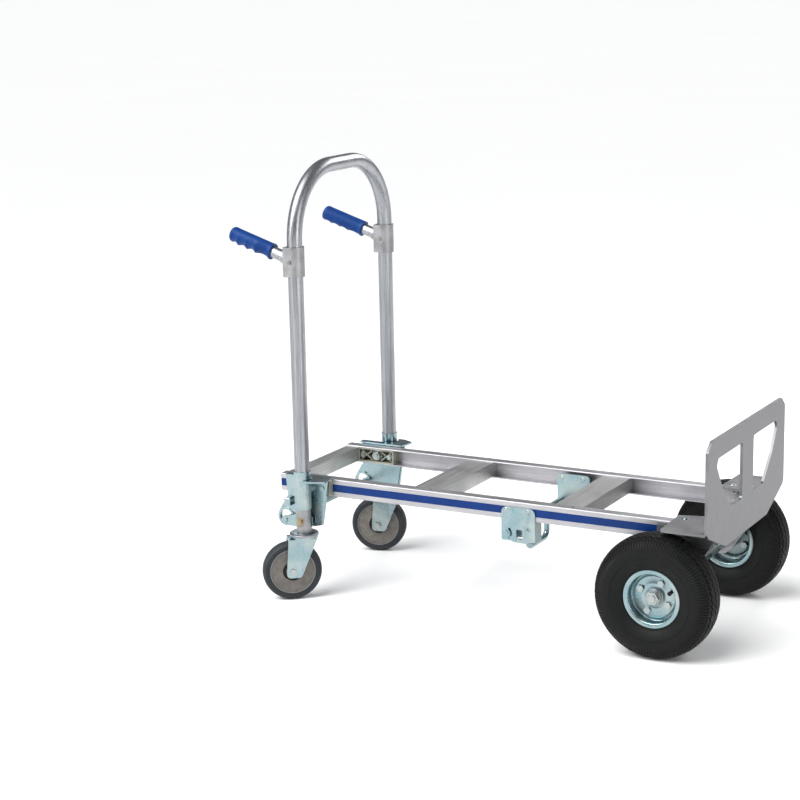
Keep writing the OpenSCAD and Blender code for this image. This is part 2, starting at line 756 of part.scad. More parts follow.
// Axle bolt of a caster, its low round head outwards
module caster_bolt(side) {
    color("lightsteelblue") swivelled(side) mirror([0, side > 0 ? 0 : 1, 0]) {
        bar_y(-caster_trail, caster_r, -fork_out - 6, fork_out + 1, 5);
        bar_y(-caster_trail, caster_r, fork_out, fork_out + 2.6, 6.8);
        hex_y(-caster_trail, caster_r, -fork_out - 5, -fork_out, 15);
    }
}

tread_in = 49;           // radius of the tread's inner face

module caster_tread(side) {
    half = caster_w / 2;
    color("dimgray") swivelled(side) turned_y(-caster_trail, 0, caster_r)
        polygon(rounded([[tread_in, -half, 1], [caster_r - 2, -half, 4], [caster_r, -half + 9, 14],
            [caster_r, half - 9, 14], [caster_r - 2, half, 4], [tread_in, half, 1]]));
}

module caster_hub(side) {
    bore = 5 + fit;
    half = caster_w / 2 - 1;
    color("rosybrown") swivelled(side) turned_y(-caster_trail, 0, caster_r) {
        translate([bore, -fork_in + gap]) square([9, 2 * (fork_in - gap)]);
        translate([bore + 5, -5]) square([18, 10]);
        polygon(rounded([[20.5, -half + 0.6, 1], [tread_in, -half, 0.5], [tread_in, half, 0.5],
            [20.5, half - 0.6, 1]]));
    }
}

// ---- main wheels ----

bead_r = 52;             // radius of the rim's drum, where the tyre sits

// Half width of the tyre at angle t round its section, from the tread's middle
function bulge(v) = sign(v) * pow(abs(v), 0.78);

module tyre(side) {
    mid = 92;
    section = [for (i = [0:30]) let (t = -5 + i * 190 / 30)
        [mid + (tyre_r - mid) * bulge(sin(t)), tyre_w / 2 * bulge(cos(t))]];
    color("#202020") on_side(side) turned_y(axle_x, wheel_y, tyre_r)
        polygon(concat([[bead_r + 0.1, 28], [59.6, 29], [60.5, 33], [72, 40]], section,
            [[72, -40], [60.5, -33], [59.6, -29], [bead_r + 0.1, -28]]));
}

module rim(side) {
    drum_r = bead_r - 2.4;
    color("lightblue") on_side(side) difference() {
        turned_y(axle_x, wheel_y, tyre_r) {
            polygon([[drum_r, -28], [50, -31], [59.4, -31.6], [59.4, -29.4], [bead_r, -28.4],
                [bead_r, 28.4], [59.4, 29.4], [59.4, 31.6], [50, 31], [drum_r, 28]]);
            polygon([[19.2, 10], [39, 10], [44, 5.6], [50, 5.6], [50, 8], [45, 8], [40, 12.4],
                [19.2, 12.4]]);
        }
        for (i = [0:3]) rotate_bolt(i) bar_y(0, 0, 0, 30, 4 + loose);
        valve_place() bar_y(0, 0, 0, 30, 4);
    }
}

// Place of rim bolt i, and of the valve, in the wheel's disc
module rotate_bolt(i) {
    a = 64 + 90 * i;
    translate([axle_x + 32 * cos(a), wheel_y, tyre_r + 32 * sin(a)]) children();
}

module valve_place() {
    translate([axle_x + 39 * cos(22), wheel_y, tyre_r + 39 * sin(22)]) children();
}

module hub(side) {
    color("slategray") on_side(side) difference() {
        union() {
            bar_y(axle_x, tyre_r, wheel_y - hub_in, wheel_y + hub_out, 17);
            bar_y(axle_x, tyre_r, wheel_y - hub_in + 6, wheel_y + hub_out - 5, 19.1);
            washer_y(axle_x, tyre_r, wheel_y + 3, wheel_y + 9.9, 10, 38);
        }
        bar_y(axle_x, tyre_r, wheel_y - 60, wheel_y + 60, axle_r + fit);
        for (i = [0:3]) rotate_bolt(i) bar_y(0, 0, 0, 30, 4 + loose);
        valve_place() bar_y(0, 0, 0, 30, 4.2);
    }
}

module rim_bolts(side) {
    color("lightsteelblue") on_side(side) for (i = [0:3]) rotate_bolt(i) {
        bar_y(0, 0, -3, 16, 4);
        hex_y(0, 0, 12.5, 18, 13);
        hex_y(0, 0, -4, 2.9, 13);
    }
}

module valve(side) {
    color("#202020") on_side(side) valve_place() {
        bar_y(0, 0, -2, 22, 3.4);
        bar_y(0, 0, 22, 27, 4.2);
        bar_y(0, 0, -3, 2.8, 5);
    }
}

rail(1);  // left_rail
rail(-1);  // right_rail
side_stripes();
crossbar(bars[0]);  // end_crossbar
crossbar(bars[1]);  // middle_crossbar
crossbar(bars[2]);  // lower_crossbar
crossbar_rivets();
nose_plate();
nose_bolts();
axle_brackets();
axle_bracket_bolts();
axle();
axle_washers();
axle_nuts();
inner_castings();
outer_castings();
pivot_bracket(1);  // left_pivot_bracket
pivot_bracket(-1);  // right_pivot_bracket
casting_bolts();
stop_bolts();
latch_brackets();
latch_bracket_bolts();
latch_springs();
sleeve(1);  // left_sleeve
sleeve(-1);  // right_sleeve
pivot_studs();
pivot_nuts();
release_rod();
latch_hooks();
handle_tube();
grip_clamp(1);  // left_grip_clamp
grip_clamp(-1);  // right_grip_clamp
clamp_screws();
grip_tubes();
grip(1);  // left_grip
grip(-1);  // right_grip
leg_ends();
rod_tabs();
cross_rod();
leg_end_bolts();
caster_raceways();
caster_kingpins();
fork(1);  // left_fork
fork(-1);  // right_fork
caster_bolt(1);  // left_caster_bolt
caster_bolt(-1);  // right_caster_bolt
caster_tread(1);  // left_caster_tread
caster_tread(-1);  // right_caster_tread
caster_hub(1);  // left_caster_hub
caster_hub(-1);  // right_caster_hub
tyre(1);  // left_tyre
tyre(-1);  // right_tyre
rim(1);  // left_rim
rim(-1);  // right_rim
hub(1);  // left_hub
hub(-1);  // right_hub
rim_bolts(1);  // left_rim_bolts
rim_bolts(-1);  // right_rim_bolts
valve(1);  // left_valve
valve(-1);  // right_valve
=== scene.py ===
"""Looks of the convertible hand truck, in the CAD model's frame: metres, +X to the nose plate, +Z up."""

import json
import math

import bmesh
import bpy
from mathutils import Matrix, Vector

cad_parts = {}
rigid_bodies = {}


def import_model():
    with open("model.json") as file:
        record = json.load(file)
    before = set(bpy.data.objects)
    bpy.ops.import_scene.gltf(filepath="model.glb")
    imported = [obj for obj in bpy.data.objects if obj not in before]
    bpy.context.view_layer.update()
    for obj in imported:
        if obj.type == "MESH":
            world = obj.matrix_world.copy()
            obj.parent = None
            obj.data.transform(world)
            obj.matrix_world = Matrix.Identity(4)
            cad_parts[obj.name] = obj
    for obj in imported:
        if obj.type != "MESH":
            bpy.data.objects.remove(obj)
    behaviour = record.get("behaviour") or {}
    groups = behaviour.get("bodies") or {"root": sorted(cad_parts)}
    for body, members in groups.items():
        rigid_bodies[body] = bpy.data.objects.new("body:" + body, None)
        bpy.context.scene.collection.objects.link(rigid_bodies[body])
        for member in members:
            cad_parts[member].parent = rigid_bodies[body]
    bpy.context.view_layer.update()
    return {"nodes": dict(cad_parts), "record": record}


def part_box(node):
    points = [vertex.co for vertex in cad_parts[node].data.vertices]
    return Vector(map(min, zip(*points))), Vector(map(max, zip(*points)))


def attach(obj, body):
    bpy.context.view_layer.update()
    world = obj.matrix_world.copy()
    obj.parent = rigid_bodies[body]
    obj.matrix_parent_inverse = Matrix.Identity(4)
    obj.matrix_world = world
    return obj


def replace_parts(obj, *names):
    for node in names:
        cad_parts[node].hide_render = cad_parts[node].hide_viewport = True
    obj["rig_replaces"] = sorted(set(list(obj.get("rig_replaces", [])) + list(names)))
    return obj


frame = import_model()

MM = 0.001
NODES = frame["nodes"]
BODY = {n: b for b, ns in frame["record"]["behaviour"]["bodies"].items() for n in ns}
SLOT = {s["node"]: s["material_slot"] for s in frame["record"]["subparts"]}
SIDES = {"left": 1, "right": -1}
SMOOTH_BELOW = math.radians(35)


# ---- materials ----


class Look:
    """A Principled material under construction. Textures use the piece's own coordinates, in metres."""

    def __init__(self, name, metallic, rough, specular=0.5):
        self.mat = bpy.data.materials.new(name)
        self.mat.use_nodes = True
        self.tree = self.mat.node_tree
        self.shader = self.tree.nodes["Principled BSDF"]
        self.set("Metallic", metallic)
        self.set("Specular IOR Level", specular)
        self.set("Roughness", rough)
        self.place = self.node("ShaderNodeTexCoord").outputs["Object"]
        self.height = None

    def set(self, socket, value):
        self.shader.inputs[socket].default_value = value

    def node(self, kind, **inputs):
        made = self.tree.nodes.new(kind)
        for name, value in inputs.items():
            self.feed(made.inputs[name.replace("_", " ")], value)
        return made

    def feed(self, socket, value):
        if isinstance(value, bpy.types.NodeSocket):
            self.tree.links.new(value, socket)
        else:
            socket.default_value = value

    def noise(self, scale, stretch=(1, 1, 1), detail=4.0):
        """Noise with features about 1/scale metres across, drawn out where stretch is below 1."""
        mapped = self.node("ShaderNodeMapping", Vector=self.place, Scale=stretch)
        made = self.node("ShaderNodeTexNoise", Vector=mapped.outputs["Vector"], Scale=scale, Detail=detail)
        return made.outputs["Fac"]

    def cells(self, scale):
        return self.node("ShaderNodeTexVoronoi", Vector=self.place, Scale=scale).outputs["Color"]

    def between(self, fac, low, high, start=0.35, stop=0.65):
        """low to high as fac goes from start to stop."""
        made = self.node("ShaderNodeMapRange", Value=fac)
        for name, value in zip(("From Min", "From Max", "To Min", "To Max"), (start, stop, low, high)):
            made.inputs[name].default_value = value
        return made.outputs["Result"]

    def blend(self, fac, a, b, mode="MIX"):
        made = self.tree.nodes.new("ShaderNodeMix")
        made.data_type, made.blend_type = "RGBA", mode
        colours = [s for s in made.inputs if s.type == "RGBA"]
        self.feed(made.inputs[0], fac)
        for socket, value in zip(colours, (a, b)):
            self.feed(socket, value if isinstance(value, bpy.types.NodeSocket) else (*value, 1))
        return next(s for s in made.outputs if s.type == "RGBA")

    def colour(self, socket):
        self.feed(self.shader.inputs["Base Color"], socket)
        return self

    def rough(self, fac, low, high):
        self.feed(self.shader.inputs["Roughness"], self.between(fac, low, high))
        return self

    def bump(self, height, depth):
        """Adds relief of about that depth, in metres, over the relief already there."""
        made = self.node("ShaderNodeBump", Height=height, Distance=depth, Strength=1.0)
        if self.height is not None:
            self.feed(made.inputs["Normal"], self.height)
        self.height = made.outputs["Normal"]
        self.feed(self.shader.inputs["Normal"], self.height)
        return self


def brushed(name, dark, light, rough, along, grain=900, lines=0.00002):
    """Metal with fine lines along one axis, blotches of wear and a few scuffs."""
    look = Look(name, 1.0, rough[0])
    stretch = [1.0, 1.0, 1.0]
    stretch["XYZ".index(along)] = 0.012
    streaks = look.noise(grain, stretch, 3.0)
    blotches = look.noise(14)
    scuffs = look.between(look.noise(130, detail=8.0), 0.0, 1.0, 0.62, 0.72)
    base = look.blend(look.between(streaks, 0.0, 1.0), dark, light)
    shade = look.blend(look.between(blotches, 0.0, 0.35, 0.4, 0.7), base, dark)
    look.colour(look.blend(look.between(scuffs, 0.0, 0.3, 0.0, 1.0), shade, light))
    mixed = look.node("ShaderNodeMath", Value=streaks)
    mixed.operation = "ADD"
    look.feed(mixed.inputs[1], look.between(blotches, -0.15, 0.15))
    look.rough(mixed.outputs[0], *rough)
    return look.bump(streaks, lines).bump(scuffs, lines).mat


def zinc(name, cold, warm, rough):
    """Zinc plate: bluish patches that turn yellow-green here and there, over faint spangle."""
    look = Look(name, 1.0, rough[0])
    patches = look.noise(22, detail=5.0)
    fine = look.noise(420, detail=3.0)
    tint = look.blend(look.between(patches, 0.0, 1.0, 0.38, 0.68), cold, warm)
    spangle = look.blend(0.06, tint, look.cells(260), "OVERLAY")
    marks = look.between(look.noise(70, (1, 1, 0.25), 8.0), 0.0, 0.5, 0.6, 0.75)
    look.colour(look.blend(marks, spangle, [c * 0.55 for c in cold]))
    look.rough(patches, *rough)
    return look.bump(fine, 0.00004).mat


def cast(name, dark, light, rough, metallic, grain=0.00025):
    """Cast metal: a fine pebbled skin with slow changes of shade."""
    look = Look(name, metallic, rough[0])
    skin = look.noise(1300, detail=2.0)
    slow = look.noise(30, detail=5.0)
    look.colour(look.blend(look.between(slow, 0.0, 1.0), dark, light))
    look.rough(slow, *rough)
    return look.bump(skin, grain).bump(slow, grain).mat


def rubber(name, dark, dusty, rough, dust=0.5):
    """Rubber with dust in patches and a fine moulded skin."""
    look = Look(name, 0.0, rough[0], specular=0.22)
    patches = look.noise(28, detail=7.0)
    specks = look.noise(700, detail=2.0)
    look.colour(look.blend(look.between(patches, 0.0, dust, 0.42, 0.72), dark, dusty))
    look.rough(patches, *rough)
    return look.bump(specks, 0.00012).mat


def vinyl(name, deep, bright, rough, grain):
    """Coloured vinyl, a little lighter and duller where it is rubbed."""
    look = Look(name, 0.0, rough[0], specular=0.22)
    rubbed = look.noise(45, detail=6.0)
    look.colour(look.blend(look.between(rubbed, 0.0, 1.0, 0.4, 0.7), deep, bright))
    look.rough(rubbed, *rough)
    return look.bump(look.noise(1500, detail=2.0), grain).mat


def moulded(name, dark, light, rough):
    """Plain moulded plastic, with flow marks."""
    look = Look(name, 0.0, rough[0], specular=0.4)
    flow = look.noise(90, detail=6.0)
    look.colour(look.blend(look.between(flow, 0.0, 1.0), dark, light))
    look.rough(flow, *rough)
    return look.bump(flow, 0.0001).mat


LOOKS = {
    "rail_aluminium": brushed("rail_aluminium", (0.40, 0.40, 0.42), (0.58, 0.57, 0.59), (0.4, 0.54), "X"),
    "mill_aluminium": brushed("mill_aluminium", (0.42, 0.42, 0.42), (0.60, 0.60, 0.59), (0.42, 0.56), "Y"),
    "bracket_aluminium": brushed("bracket_aluminium", (0.26, 0.27, 0.28), (0.44, 0.44, 0.45), (0.36, 0.5),
                                 "X"),
    "cast_aluminium": cast("cast_aluminium", (0.19, 0.19, 0.20), (0.27, 0.27, 0.28), (0.4, 0.54), 1.0,
                           0.00008),
    "polished_aluminium": brushed("polished_aluminium", (0.26, 0.27, 0.29), (0.44, 0.45, 0.47), (0.3, 0.42),
                                  "Z", 700, 0.000006),
    "clamp_aluminium": cast("clamp_aluminium", (0.27, 0.27, 0.28), (0.40, 0.40, 0.41), (0.34, 0.5), 1.0),
    "pivot_casting": cast("pivot_casting", (0.28, 0.29, 0.24), (0.42, 0.42, 0.36), (0.45, 0.6), 0.6),
    "zinc_plate": zinc("zinc_plate", (0.25, 0.36, 0.39), (0.41, 0.48, 0.48), (0.2, 0.36)),
    "zinc_fastener": zinc("zinc_fastener", (0.34, 0.41, 0.43), (0.46, 0.48, 0.45), (0.24, 0.4)),
    "hub_steel": zinc("hub_steel", (0.2, 0.26, 0.28), (0.32, 0.35, 0.35), (0.26, 0.42)),
    "raceway_steel": zinc("raceway_steel", (0.26, 0.28, 0.3), (0.4, 0.38, 0.38), (0.28, 0.46)),
    "dark_rivet": zinc("dark_rivet", (0.22, 0.23, 0.24), (0.3, 0.29, 0.28), (0.4, 0.55)),
    "brass_bolt": zinc("brass_bolt", (0.38, 0.31, 0.2), (0.3, 0.24, 0.16), (0.3, 0.5)),
    "blue_vinyl": vinyl("blue_vinyl", (0.0, 0.024, 0.14), (0.0, 0.03, 0.17), (0.3, 0.42), 0.00002),
    "blue_grip": vinyl("blue_grip", (0.0, 0.032, 0.17), (0.001, 0.044, 0.21), (0.4, 0.54), 0.0001),
    "caster_rubber": rubber("caster_rubber", (0.028, 0.032, 0.036), (0.06, 0.062, 0.064), (0.5, 0.68)),
    "tyre_rubber": rubber("tyre_rubber", (0.002, 0.0024, 0.0026), (0.009, 0.009, 0.009), (0.46, 0.68), 0.35),
    "valve_rubber": rubber("valve_rubber", (0.006, 0.006, 0.006), (0.02, 0.02, 0.02), (0.5, 0.7)),
    "caster_hub_plastic": moulded("caster_hub_plastic", (0.11, 0.1, 0.088), (0.16, 0.145, 0.13), (0.36, 0.5)),
}


# ---- pieces ----


def link(name, mesh, body, slot, at=(0, 0, 0), turn=None):
    """Shows mesh as a piece that rides on body, in the look of that material slot."""
    if turn:
        mesh.transform(turn)
    mesh.materials.clear()
    mesh.materials.append(LOOKS[slot])
    mesh.shade_smooth()
    mesh.set_sharp_from_angle(angle=SMOOTH_BELOW)
    piece = bpy.data.objects.new(name, mesh)
    bpy.context.scene.collection.objects.link(piece)
    piece.matrix_world = Matrix.Translation(at)
    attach(piece, body)
    return piece


def rounded_copy(node, width):
    """Stands a copy of a CAD node in for it, with its edges rounded to that width."""
    mesh = NODES[node].data.copy()
    if "custom_normal" in mesh.attributes:
        mesh.attributes.remove(mesh.attributes["custom_normal"])
    bm = bmesh.new()
    bm.from_mesh(mesh)
    bmesh.ops.remove_doubles(bm, verts=bm.verts, dist=1e-6)
    bmesh.ops.dissolve_limit(bm, angle_limit=math.radians(0.5), verts=bm.verts, edges=bm.edges)
    bm.to_mesh(mesh)
    bm.free()
    piece = link(node + "_finish", mesh, BODY[node], SLOT[node])
    bevel = piece.modifiers.new("edges", "BEVEL")
    bevel.width, bevel.segments = width, 2
    bevel.limit_method, bevel.angle_limit = "ANGLE", math.radians(40)
    bevel.use_clamp_overlap = True
    bevel.harden_normals = True
    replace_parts(piece, node)
    return piece


def grid_mesh(name, rows, wrap_rows=True, caps=False):
    """Skin over rings of points, one after another."""
    bm = bmesh.new()
    rings = [[bm.verts.new(p) for p in row] for row in rows]
    pairs = list(zip(rings, rings[1:])) + ([(rings[-1], rings[0])] if wrap_rows else [])
    for a, b in pairs:
        for i in range(len(a)):
            j = (i + 1) % len(a)
            bm.faces.new((a[i], b[i], b[j], a[j]))
    if caps:
        bm.faces.new(rings[0])
        bm.faces.new(list(reversed(rings[-1])))
    bmesh.ops.remove_doubles(bm, verts=bm.verts, dist=1e-7)
    bmesh.ops.recalc_face_normals(bm, faces=bm.faces)
    mesh = bpy.data.meshes.new(name)
    bm.to_mesh(mesh)
    bm.free()
    return mesh


def turned(name, outline, side, steps=96):
    """Ring about the Y axis. The outline is (radius, distance out from the middle), in mm."""
    rows = []
    for k in range(steps):
        a = 2 * math.pi * k / steps
        rows.append([Vector((r * math.cos(a), side * y, r * math.sin(a))) * MM for r, y in outline])
    return grid_mesh(name, rows)


def arc(cx, cy, r, start, stop, n=6):
    """Points of an arc in an outline, angles in degrees."""
    angles = [math.radians(start + (stop - start) * i / n) for i in range(n + 1)]
    return [(cx + r * math.cos(a), cy + r * math.sin(a)) for a in angles]


def swept(name, path, radius, around=40):
    """Round bar along a path in a YZ plane."""
    rows = []
    for i, p in enumerate(path):
        ahead = (path[min(i + 1, len(path) - 1)] - path[max(i - 1, 0)]).normalized()
        side = Vector((1, 0, 0))
        up = ahead.cross(side)
        rows.append([p + radius * (side * math.cos(a) + up * math.sin(a))
                     for a in (2 * math.pi * k / around for k in range(around))])
    return grid_mesh(name, rows, wrap_rows=False, caps=True)


def centre(node):
    low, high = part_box(node)
    return (low + high) / 2


# ---- main wheels ----

TREAD_STEPS = 480
ZIGZAGS = 60
TYRE_R = (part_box("left_tyre")[1].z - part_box("left_tyre")[0].z) / 2 / MM
TYRE_HALF = (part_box("left_tyre")[1].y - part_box("left_tyre")[0].y) / 2 / MM
TYRE_MID_R = 92
BEAD_R = 52


def crown(y):
    """Radius of the tyre's outer skin at distance y from its middle plane."""
    out = min(abs(y) / TYRE_HALF, 1.0) ** (1 / 0.78)
    return TYRE_MID_R + (TYRE_R - TYRE_MID_R) * (1 - out * out) ** 0.39


def half_section():
    """Stations of the tyre's skin from its middle to the bead: (radius, y, groove, zigzag, rib), in mm."""
    groove_depth, lip = 3.8, 0.6
    stations = [(crown(0), 0.0, 0, 1, 0)]
    for middle in (7.5, 22.5):
        for offset, cut in ((-1.8, 0), (-1.8 + lip, 1), (1.8 - lip, 1), (1.8, 0)):
            stations.append((crown(middle + offset), middle + offset, cut * groove_depth, 1, 0))
    for y, rib in ((29.5, 0), (30.6, 1), (34.0, 1), (37.5, 1), (40.3, 1), (42.0, 0.7), (42.8, 0)):
        stations.append((crown(y), y, 0, 0, rib))
    side = [(92, 43.0), (87, 42.7), (84.4, 42.3), (84, 41.6), (82.4, 41.5), (82, 41.9), (77, 40.8),
            (71, 38.6), (66, 36.2), (62.8, 34.2), (61.6, 34.4), (60.6, 33.0), (59.6, 29.0),
            (BEAD_R + 0.2, 28.0)]
    return stations + [(r, y, 0, 0, 0) for r, y in side]


def tyre(word, side):
    """Pneumatic tyre with four zigzag grooves and finely ribbed shoulders."""
    rib_depth, swing = 1.9, 2.6
    half = half_section()
    rows = []
    for k in range(TREAD_STEPS):
        a = 2 * math.pi * k / TREAD_STEPS
        phase = (k * ZIGZAGS / TREAD_STEPS) % 1.0
        zig = swing * (4 * abs(phase - 0.5) - 1)
        low = 1 if k % 4 >= 2 else 0
        ring = []
        for sign, stations in ((-1, reversed(half)), (1, half[1:])):
            for r, y, groove, weave, rib in stations:
                across = sign * y + zig * weave
                inward = rib * low * rib_depth
                depth = r - crown(y) if weave else 0
                radius = (crown(across) if weave else r) + depth - groove - 0.6 * inward
                across -= sign * 0.8 * inward if not weave else 0
                ring.append(Vector((radius * math.cos(a), side * across, radius * math.sin(a))) * MM)
        rows.append(ring)
    node = word + "_tyre"
    piece = link(node + "_tread", grid_mesh(node, rows), BODY[node], SLOT[node], centre(node))
    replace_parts(piece, node)


def rim(word, side):
    """Pressed rim: rolled flanges, a deep drum and a stamped disc."""
    drum = BEAD_R - 2.4
    outline = [(19.2, 10.0), (38, 10.0), *arc(39, 6.5, 3.5, 90, 20, 4), (44, 5.6), (drum - 2.5, 5.6)]
    outline += [(drum, 3.5), (drum, -26.5), *arc(drum + 3, -28, 3, 180, 262, 4), (57.4, -31.4)]
    outline += [*arc(58.4, -30.4, 1.0, -90, 90, 5), (53.6, -29.2), (BEAD_R, -27.6), (BEAD_R, 27.6)]
    outline += [(53.6, 29.2)]
    outline += [*arc(58.4, 30.4, 1.0, -90, 90, 5), (57.4, 31.4), *arc(drum + 3, 28, 3, 98, 180, 4)]
    outline += [(drum, 10.5), (drum - 2.5, 8.0), (46, 8.0), *arc(41, 8.8, 3.6, 10, 90, 4), (30, 12.4)]
    outline += [(27.5, 13.4), (23, 13.4), (21, 12.4), (19.2, 12.4)]
    node = word + "_rim"
    piece = link(node + "_pressing", turned(node, outline, side, 128), BODY[node], SLOT[node], centre(node))
    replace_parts(piece, node)


def hub(word, side):
    """Hub tube with a bearing in each end, and the flange that the rim is bolted to."""
    low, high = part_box(word + "_hub")
    middle = centre(word + "_tyre")
    ends = sorted(((low.y - middle.y) * side / MM, (high.y - middle.y) * side / MM))
    bore, tube, seal = 8.2, 17.0, 14.6

    def end(s, half):
        lip = [(19.0, s * (half - 6)), (19.0, s * (half - 5.2)), (tube, s * (half - 4.6)),
               (tube, s * (half - 1))]
        face = [(tube - 1, s * half), (seal, s * half), (seal, s * (half - 1.2)), (11.2, s * (half - 1.2)),
                (11.2, s * (half - 0.1)), (bore, s * (half - 0.1))]
        return lip + face if s > 0 else list(reversed(lip + face))

    flange = [(19.0, 3), (37, 3), (38, 4), (38, 9), (37.4, 9.9), (19.0, 9.9)]
    node = word + "_hub"
    mesh = turned(node, end(-1, -ends[0]) + flange + end(1, ends[1]), side, 72)
    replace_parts(link(node + "_turning", mesh, BODY[node], SLOT[node], middle), node)
    for name, s, half in (("out", 1, ends[1]), ("in", -1, -ends[0])):
        ring = [(11.4, half - 1.1), (14.4, half - 1.1), (14.4, half - 0.7), (11.4, half - 0.7)]
        seal_mesh = turned(node, [(r, s * y) for r, y in ring], side, 48)
        link(f"{node}_seal_{name}", seal_mesh, BODY[node], "valve_rubber", middle)


# ---- casters ----


# How far each caster is turned at rest, as in the CAD model, and half the width of its wheel in mm.
SWIVEL = {"left": math.radians(17), "right": math.radians(38)}
CASTER_HALF = 16


def caster_wheel(word, side):
    """Crowned rubber tread on a flat moulded hub with a raised ring round each face."""
    turn = Matrix.Rotation(SWIVEL[word], 4, "Z")
    node = word + "_caster_tread"
    low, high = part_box(node)
    radius, half = (high.z - low.z) / 2 / MM, CASTER_HALF
    inner = 49
    outline = [(inner, -half + 0.6), (inner + 0.6, -half)]
    for r in (52, 54.5, 57):
        outline += [(r - 0.5, -half), (r - 0.25, -half + 0.35), (r + 0.25, -half + 0.35), (r + 0.5, -half)]
    outline += [(radius - 4.6, -half + 1.2), (radius - 2.6, -half + 3.2), (radius - 1.0, -half + 6)]
    outline += [(radius - 0.3, -half + 9)]
    outline += [(radius, 0)] + [(r, -y) for r, y in reversed(outline)]
    mesh = turned(node, outline, side)
    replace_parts(link(node + "_skin", mesh, BODY[node], SLOT[node], centre(node), turn), node)

    def face(s):
        points = [(inner - 0.1, s * (half - 1.6)), (inner - 0.4, s * (half - 1.0)),
                  (inner - 2.4, s * (half - 1.0)), (inner - 3.0, s * (half - 2.2)),
                  (35, s * (half - 2.0)), (23, s * (half - 1.7)),
                  (21.8, s * (half - 1.4)), (20.6, s * (half - 2.2)), (20.4, s * 5.2), (14.3, s * 5.2),
                  (14.1, s * 8), (14.0, s * 16.6), (13.0, s * 17.8), (9.4, s * 17.8), (9.0, s * 16.9),
                  (5.1, s * 16.9)]
        return points if s > 0 else list(reversed(points))

    node = word + "_caster_hub"
    mesh = turned(node, face(-1) + face(1), side)
    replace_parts(link(node + "_moulding", mesh, BODY[node], SLOT[node], centre(node), turn), node)
    for s, name in ((1, "out"), (-1, "in")):
        ring = [(inner - 2.4, s * (half - 1.0)), (inner - 0.6, s * (half - 1.0)),
                (inner - 0.7, s * (half - 0.75)), (inner - 2.3, s * (half - 0.75))]
        mesh = turned(node, ring, side)
        link(f"{node}_ring_{name}", mesh, BODY[node], "dark_rivet", centre(node), turn)
        cover = [(14.6, s * 5.3), (20.1, s * 5.3), (20.1, s * 9.5), (14.6, s * 10.5)]
        mesh = turned(node, cover, side, 64)
        link(f"{node}_cover_{name}", mesh, BODY[node], "caster_rubber", centre(node), turn)


# ---- handle ----

BEND_R = 145 * MM
TUBE_R = 16 * MM


def handle():
    """The bent tube, as one smooth sweep."""
    low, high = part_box("handle_tube")
    x, leg, top = (low.x + high.x) / 2, high.y - TUBE_R, high.z - TUBE_R
    bend = [Vector((x, leg - BEND_R * (1 - math.cos(a)), top - BEND_R * (1 - math.sin(a))))
            for a in (math.pi / 2 * i / 24 for i in range(25))]
    left = [Vector((x, leg, low.z)), Vector((x, leg, (low.z + top - BEND_R) / 2))] + bend
    right = [Vector((p.x, -p.y, p.z)) for p in reversed(left)]
    mesh = swept("handle_tube", left + right, TUBE_R, 56)
    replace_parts(link("handle_tube_bent", mesh, "handle", SLOT["handle_tube"]), "handle_tube")


GRIP_TILT = math.radians(18)
GRIP_R = 17.5
GRIP_END = 160.0
GRIP_START = 56.0
FINGER_RIDGES = (58.0, 93.0, 115.0, 137.0, 158.0)
FINGER_DEPTH = 4.2
FINGER_SIDE = math.radians(142)


def grip_radius(u, angle):
    """Radius of the grip, in mm, at u mm from the leg and an angle round it (0 on top, 90 outwards)."""
    below = max(0.0, math.cos(angle - FINGER_SIDE)) ** 0.8
    fingers = 0.0
    for start, stop in zip(FINGER_RIDGES, FINGER_RIDGES[1:]):
        if start < u < stop:
            fingers = FINGER_DEPTH * below * math.sin(math.pi * (u - start) / (stop - start)) ** 0.9
    outwards = math.sin(angle)
    ribbed = outwards < -0.35 and u < GRIP_END - 10 or outwards > 0.5 and u < 90
    ribs = 0.55 if ribbed and u > GRIP_START + 8 and (u % 2.6) < 1.3 else 0.0
    collar = 0.35 if u < GRIP_START + 4 or u > GRIP_END - 9 else 0.0
    return GRIP_R - 0.5 + collar - fingers - ribs


def grip(word, side):
    """Moulded vinyl grip with finger grooves below and outside, ribbed sides and a domed end."""
    bore, edge = 12.1, 4.0
    stations = [(GRIP_START, bore), (GRIP_START, None)]
    body = GRIP_END - edge - 1 - GRIP_START
    stations += [(GRIP_START + 0.65 * i, None) for i in range(1, int(body / 0.65))]
    around = 72
    rows = []
    for u, r in stations:
        rows.append([(u, 2 * math.pi * k / around, r if r else grip_radius(u, 2 * math.pi * k / around))
                     for k in range(around)])
    last = rows[-1]
    for i in range(1, 7):
        t = math.radians(15 * i)
        rows.append([(last[k][0] + (GRIP_END - last[k][0]) * math.sin(t),
                      last[k][1], (last[k][2] - edge) + edge * math.cos(t)) for k in range(around)])
    rows.append([(GRIP_END, q, 5.0) for _, q, _ in rows[-1]])
    points = [[Vector((r * math.cos(q), side * r * math.sin(q), u)) * MM for u, q, r in row] for row in rows]
    node = word + "_grip"
    leg_y = side * (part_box("handle_tube")[1].y - TUBE_R)
    leg = Vector((centre("handle_tube").x, leg_y, centre("left_grip_clamp").z))
    turn = Matrix.Rotation(GRIP_TILT - math.pi / 2, 4, "Y")
    mesh = grid_mesh(node, points, wrap_rows=False, caps=True)
    piece = link(node + "_moulding", mesh, BODY[node], SLOT[node], leg, turn)
    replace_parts(piece, node)


for word, side in SIDES.items():
    tyre(word, side)
    rim(word, side)
    hub(word, side)
    caster_wheel(word, side)
    grip(word, side)
handle()

